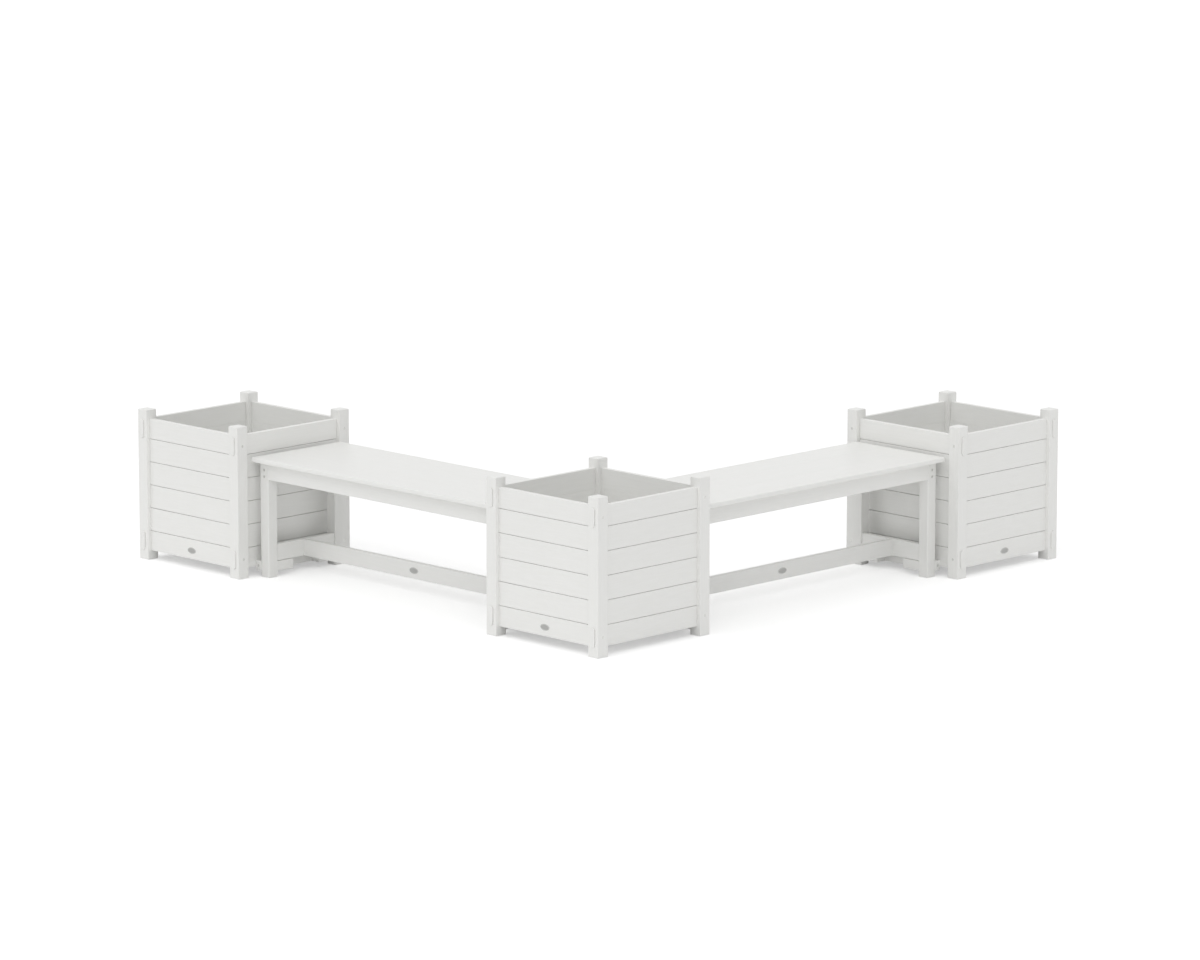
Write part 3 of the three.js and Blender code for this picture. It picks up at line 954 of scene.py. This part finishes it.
class BENCHSET_OT_screws(bpy.types.Operator):
    """Models the screws that lock the tenons"""

    bl_idname = "bench_set.screws"
    bl_label = "Screws"

    def model(self):
        """A domed head with a cross recess, sunk under the face z = 0."""
        sizes = bpy.context.scene.bench_fittings
        radius, top = sizes.screw_head / 2, -sizes.screw_cover
        start, end = (-radius, -radius, top - sizes.screw_rise), (radius, radius, top)
        head = upright_cylinder(start, end, sides=32)
        edit(head)
        select_faces(head, lambda centre, normal: normal.z > FACING)
        dome_share, recess_share = 0.5, 0.42
        bpy.ops.mesh.bevel(offset=sizes.screw_rise * dome_share, segments=3, affect="EDGES")
        leave_edit()
        long, wide = radius * recess_share, RECESS_WIDTH / 2
        under, over = top - RECESS_DEPTH, top + RECESS_DEPTH
        carve(
            head,
            block((-long, -wide, under), (long, wide, over)),
            block((-wide, -long, under), (wide, long, over)),
        )
        smooth(head)
        return head

    def on_benches(self, head, piece, places, steel):
        for step, (point, normal) in places.items():
            screw = placed_copy(head, fitting_place(point, normal))
            for bench, name, copy in bench_copies(screw, f"{piece}_screw_{step}"):
                hand_over(copy, f"{bench}_{name}", steel)

    def execute(self, context):
        head = self.model()
        steel = stainless_steel()
        for planter in PLANTERS:
            centre = planter_centre(planter)
            across = Y if planter in TENONS_ALONG_X else X
            for name in POST_TURNS:
                low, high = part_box(f"{planter}_post_{name}")
                middle = (low + high) / 2
                side = Vector((0, 0, 0))
                side[across] = math.copysign(1, middle[across] - centre[across])
                for step, level in zip(("low", "high"), tenon_levels()):
                    place = middle + side * post_width() / 2
                    place.z = level
                    screw = placed_copy(head, fitting_place(place, side))
                    hand_over(screw, f"{planter}_{name}_post_screw_{step}", steel)
        for leg in ("leg_inner_front", "leg_outer_front"):
            self.on_benches(head, leg, leg_screws(leg), steel)
        self.on_benches(head, "tie_rail_outer", tie_screws(), steel)
        discard(head)
        return {"FINISHED"}


class BENCHSET_OT_plates(bpy.types.Operator):
    """Models the small bare oval plates on the outer faces"""

    bl_idname = "bench_set.plates"
    bl_label = "Oval Plates"

    def model(self):
        """An oval plate with a raised rim, long along X, on the face z = 0."""
        sizes = bpy.context.scene.bench_fittings
        finishes = bpy.context.scene.bench_finishes
        long, short, rise = sizes.plate_length / 2, sizes.plate_height / 2, sizes.plate_rise
        plate = upright_cylinder((-long, -short, -PLATE_BACKING), (long, short, rise), sides=64)
        plate.data.materials.append(nickel("satin_nickel_rim", finishes.plate_metal, dull=0.42))
        plate.data.materials.append(nickel("dull_nickel_field", finishes.plate_field, dull=0.62))
        edit(plate)
        select_faces(plate, lambda centre, normal: normal.z > FACING)
        bpy.ops.mesh.bevel(offset=PLATE_EASING, segments=3, affect="EDGES")
        select_faces(plate, lambda centre, normal: normal.z > FACING)
        bpy.ops.mesh.inset(thickness=sizes.plate_rim)
        bpy.ops.mesh.extrude_region()
        bpy.ops.transform.translate(value=(0, 0, -sizes.plate_sink))
        # The wall round the field slopes, because the field is a little smaller than the opening.
        field_shares = (0.97, 0.95, 1)
        bpy.ops.transform.resize(value=field_shares, center_override=(0, 0, 0))
        leave_edit()
        for face in plate.data.polygons:
            sunk = 0 < face.center.z < rise - sizes.plate_sink / 2
            face.material_index = 1 if sunk and face.normal.z > FACING else 0
        smooth(plate)
        return plate

    def execute(self, context):
        plate = self.model()
        bottom, _ = wall_levels()
        sizes = context.scene.bench_fittings
        reach = planter_side() / 2 - (post_width() - board_thickness()) / 2
        for planter, side in (("corner", LEFTWARD), ("left", LEFTWARD), ("right", RIGHTWARD)):
            place = planter_centre(planter) + side * reach
            place.z = bottom + sizes.plate_level
            hand_over(placed_copy(plate, fitting_place(place, side)), planter + "_plate")
        for bench, side in (("left_bench", LEFTWARD), ("right_bench", RIGHTWARD)):
            low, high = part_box(bench + "_stretcher_long")
            half = (high - low) / 2
            place = (low + high) / 2 + side * min(half.x, half.y)
            # Outwards is +Y on the left bench and +X on the right one.
            place += Vector((-side.y, -side.x, 0)) * sizes.plate_shift
            hand_over(placed_copy(plate, fitting_place(place, side)), bench + "_plate")
        discard(plate)
        return {"FINISHED"}


class BENCHSET_OT_stage(bpy.types.Operator):
    """Makes the floor, the plain white surroundings, the lamps and the camera"""

    bl_idname = "bench_set.stage"
    bl_label = "Stage"

    # The camera stands where the photo was taken from, as fitted to the set's corners.
    eye = Vector((-16.0297, -16.0396, 4.729))
    target = Vector((-1.2303, -1.2402, 0.6449))

    def seen(self, tree):
        """1 for what the camera sees, also as a gleam on a piece, and 0 for all other light."""
        rays = node(tree, "LightPath").outputs
        either = {"operation": "MAXIMUM"}
        gloss = node(tree, "Math", either, _0=rays["Is Glossy Ray"], _1=rays["Is Transmission Ray"])
        return node(tree, "Math", either, _0=rays["Is Camera Ray"], _1=gloss.outputs[0]).outputs[0]

    def surroundings(self):
        world = bpy.data.worlds.new("white_surroundings")
        bpy.context.scene.world = world
        tree = empty_tree(world)
        strength = bpy.context.scene.bench_stage.surround
        dim = node(tree, "Background", Color=WHITE, Strength=strength).outputs[0]
        white = node(tree, "Background", Color=WHITE, Strength=1.0).outputs[0]
        mix = node(tree, "MixShader", _0=self.seen(tree), _1=dim, _2=white)
        node(tree, "OutputWorld", Surface=mix.outputs[0])

    def floor(self):
        bpy.ops.mesh.primitive_plane_add(size=120, location=(0, 0, -FLOOR_DROP))
        floor = bpy.context.object
        floor.name = "floor"
        settle(floor)
        material = bpy.data.materials.new("white_floor")
        tree = empty_tree(material)
        settings = bpy.context.scene.bench_stage
        matt = node(tree, "BsdfDiffuse", Color=WHITE).outputs[0]
        shaded = node(tree, "BsdfDiffuse", Color=[settings.floor_shade] * 3 + [1]).outputs[0]
        glow = node(tree, "Emission", Color=WHITE, Strength=settings.floor_lift).outputs[0]
        pictured = node(tree, "AddShader", _0=shaded, _1=glow).outputs[0]
        mix = node(tree, "MixShader", _0=self.seen(tree), _1=matt, _2=pictured)
        node(tree, "OutputMaterial", Surface=mix.outputs[0])
        floor.data.materials.append(material)

    def lamp(self, name, place, spread, strength):
        """A far lamp that shines from `place` towards the origin, softened by a spread in degrees."""
        bpy.ops.object.light_add(type="SUN", location=place)
        lamp = bpy.context.object
        lamp.name = name
        lamp.data.angle = math.radians(spread)
        lamp.data.energy = strength
        lamp.rotation_euler = (-Vector(place)).to_track_quat("-Z", "Y").to_euler()

    def execute(self, context):
        settings = context.scene.bench_stage
        self.surroundings()
        self.floor()
        self.lamp("key_lamp", place=(-9, 5, 8), spread=50, strength=settings.key_strength)
        self.lamp("front_lamp", place=(-9, -9, 8), spread=40, strength=settings.front_strength)
        self.lamp("top_lamp", place=(-1, -1, 9), spread=90, strength=settings.top_strength)
        camera = bpy.data.objects.new("camera", bpy.data.cameras.new("camera"))
        context.collection.objects.link(camera)
        camera.location = self.eye
        camera.rotation_euler = (self.target - self.eye).to_track_quat("-Z", "Y").to_euler()
        camera.data.sensor_fit = "HORIZONTAL"
        camera.data.sensor_width = 36
        camera.data.lens = settings.lens
        camera.data.clip_end = 400
        context.scene.camera = camera
        context.scene.view_settings.view_transform = "Standard"
        return {"FINISHED"}


OPERATORS = (
    BENCHSET_OT_stage,
    BENCHSET_OT_planter_posts,
    BENCHSET_OT_wall_boards,
    BENCHSET_OT_floor_panels,
    BENCHSET_OT_seat_planks,
    BENCHSET_OT_bench_rails,
    BENCHSET_OT_bench_legs,
    BENCHSET_OT_tie_rails,
    BENCHSET_OT_screws,
    BENCHSET_OT_plates,
)


class BENCHSET_PT_sidebar(bpy.types.Panel):
    """Lists the bench set's operators"""

    bl_label = "Bench Set"
    bl_idname = "BENCHSET_PT_sidebar"
    bl_space_type = "VIEW_3D"
    bl_region_type = "UI"
    bl_category = "Bench Set"

    def draw(self, context):
        for operator in OPERATORS:
            self.layout.operator(operator.bl_idname)


SETTINGS = {
    "bench_planter": PlanterSizes,
    "bench_sizes": BenchSizes,
    "bench_fittings": FittingSizes,
    "bench_finishes": Finishes,
    "bench_stage": StageSettings,
}


def register():
    for name, group in SETTINGS.items():
        bpy.utils.register_class(group)
        setattr(bpy.types.Scene, name, PointerProperty(type=group))
    for item in (*OPERATORS, BENCHSET_PT_sidebar):
        bpy.utils.register_class(item)


def unregister():
    for item in reversed((*OPERATORS, BENCHSET_PT_sidebar)):
        bpy.utils.unregister_class(item)
    for name, group in reversed(list(SETTINGS.items())):
        delattr(bpy.types.Scene, name)
        bpy.utils.unregister_class(group)


def main():
    register()
    for operator in OPERATORS:
        prefix, name = operator.bl_idname.split(".")
        if getattr(getattr(bpy.ops, prefix), name)() != {"FINISHED"}:
            raise RuntimeError(operator.bl_label + " did not finish")


if __name__ == "__main__":
    main()
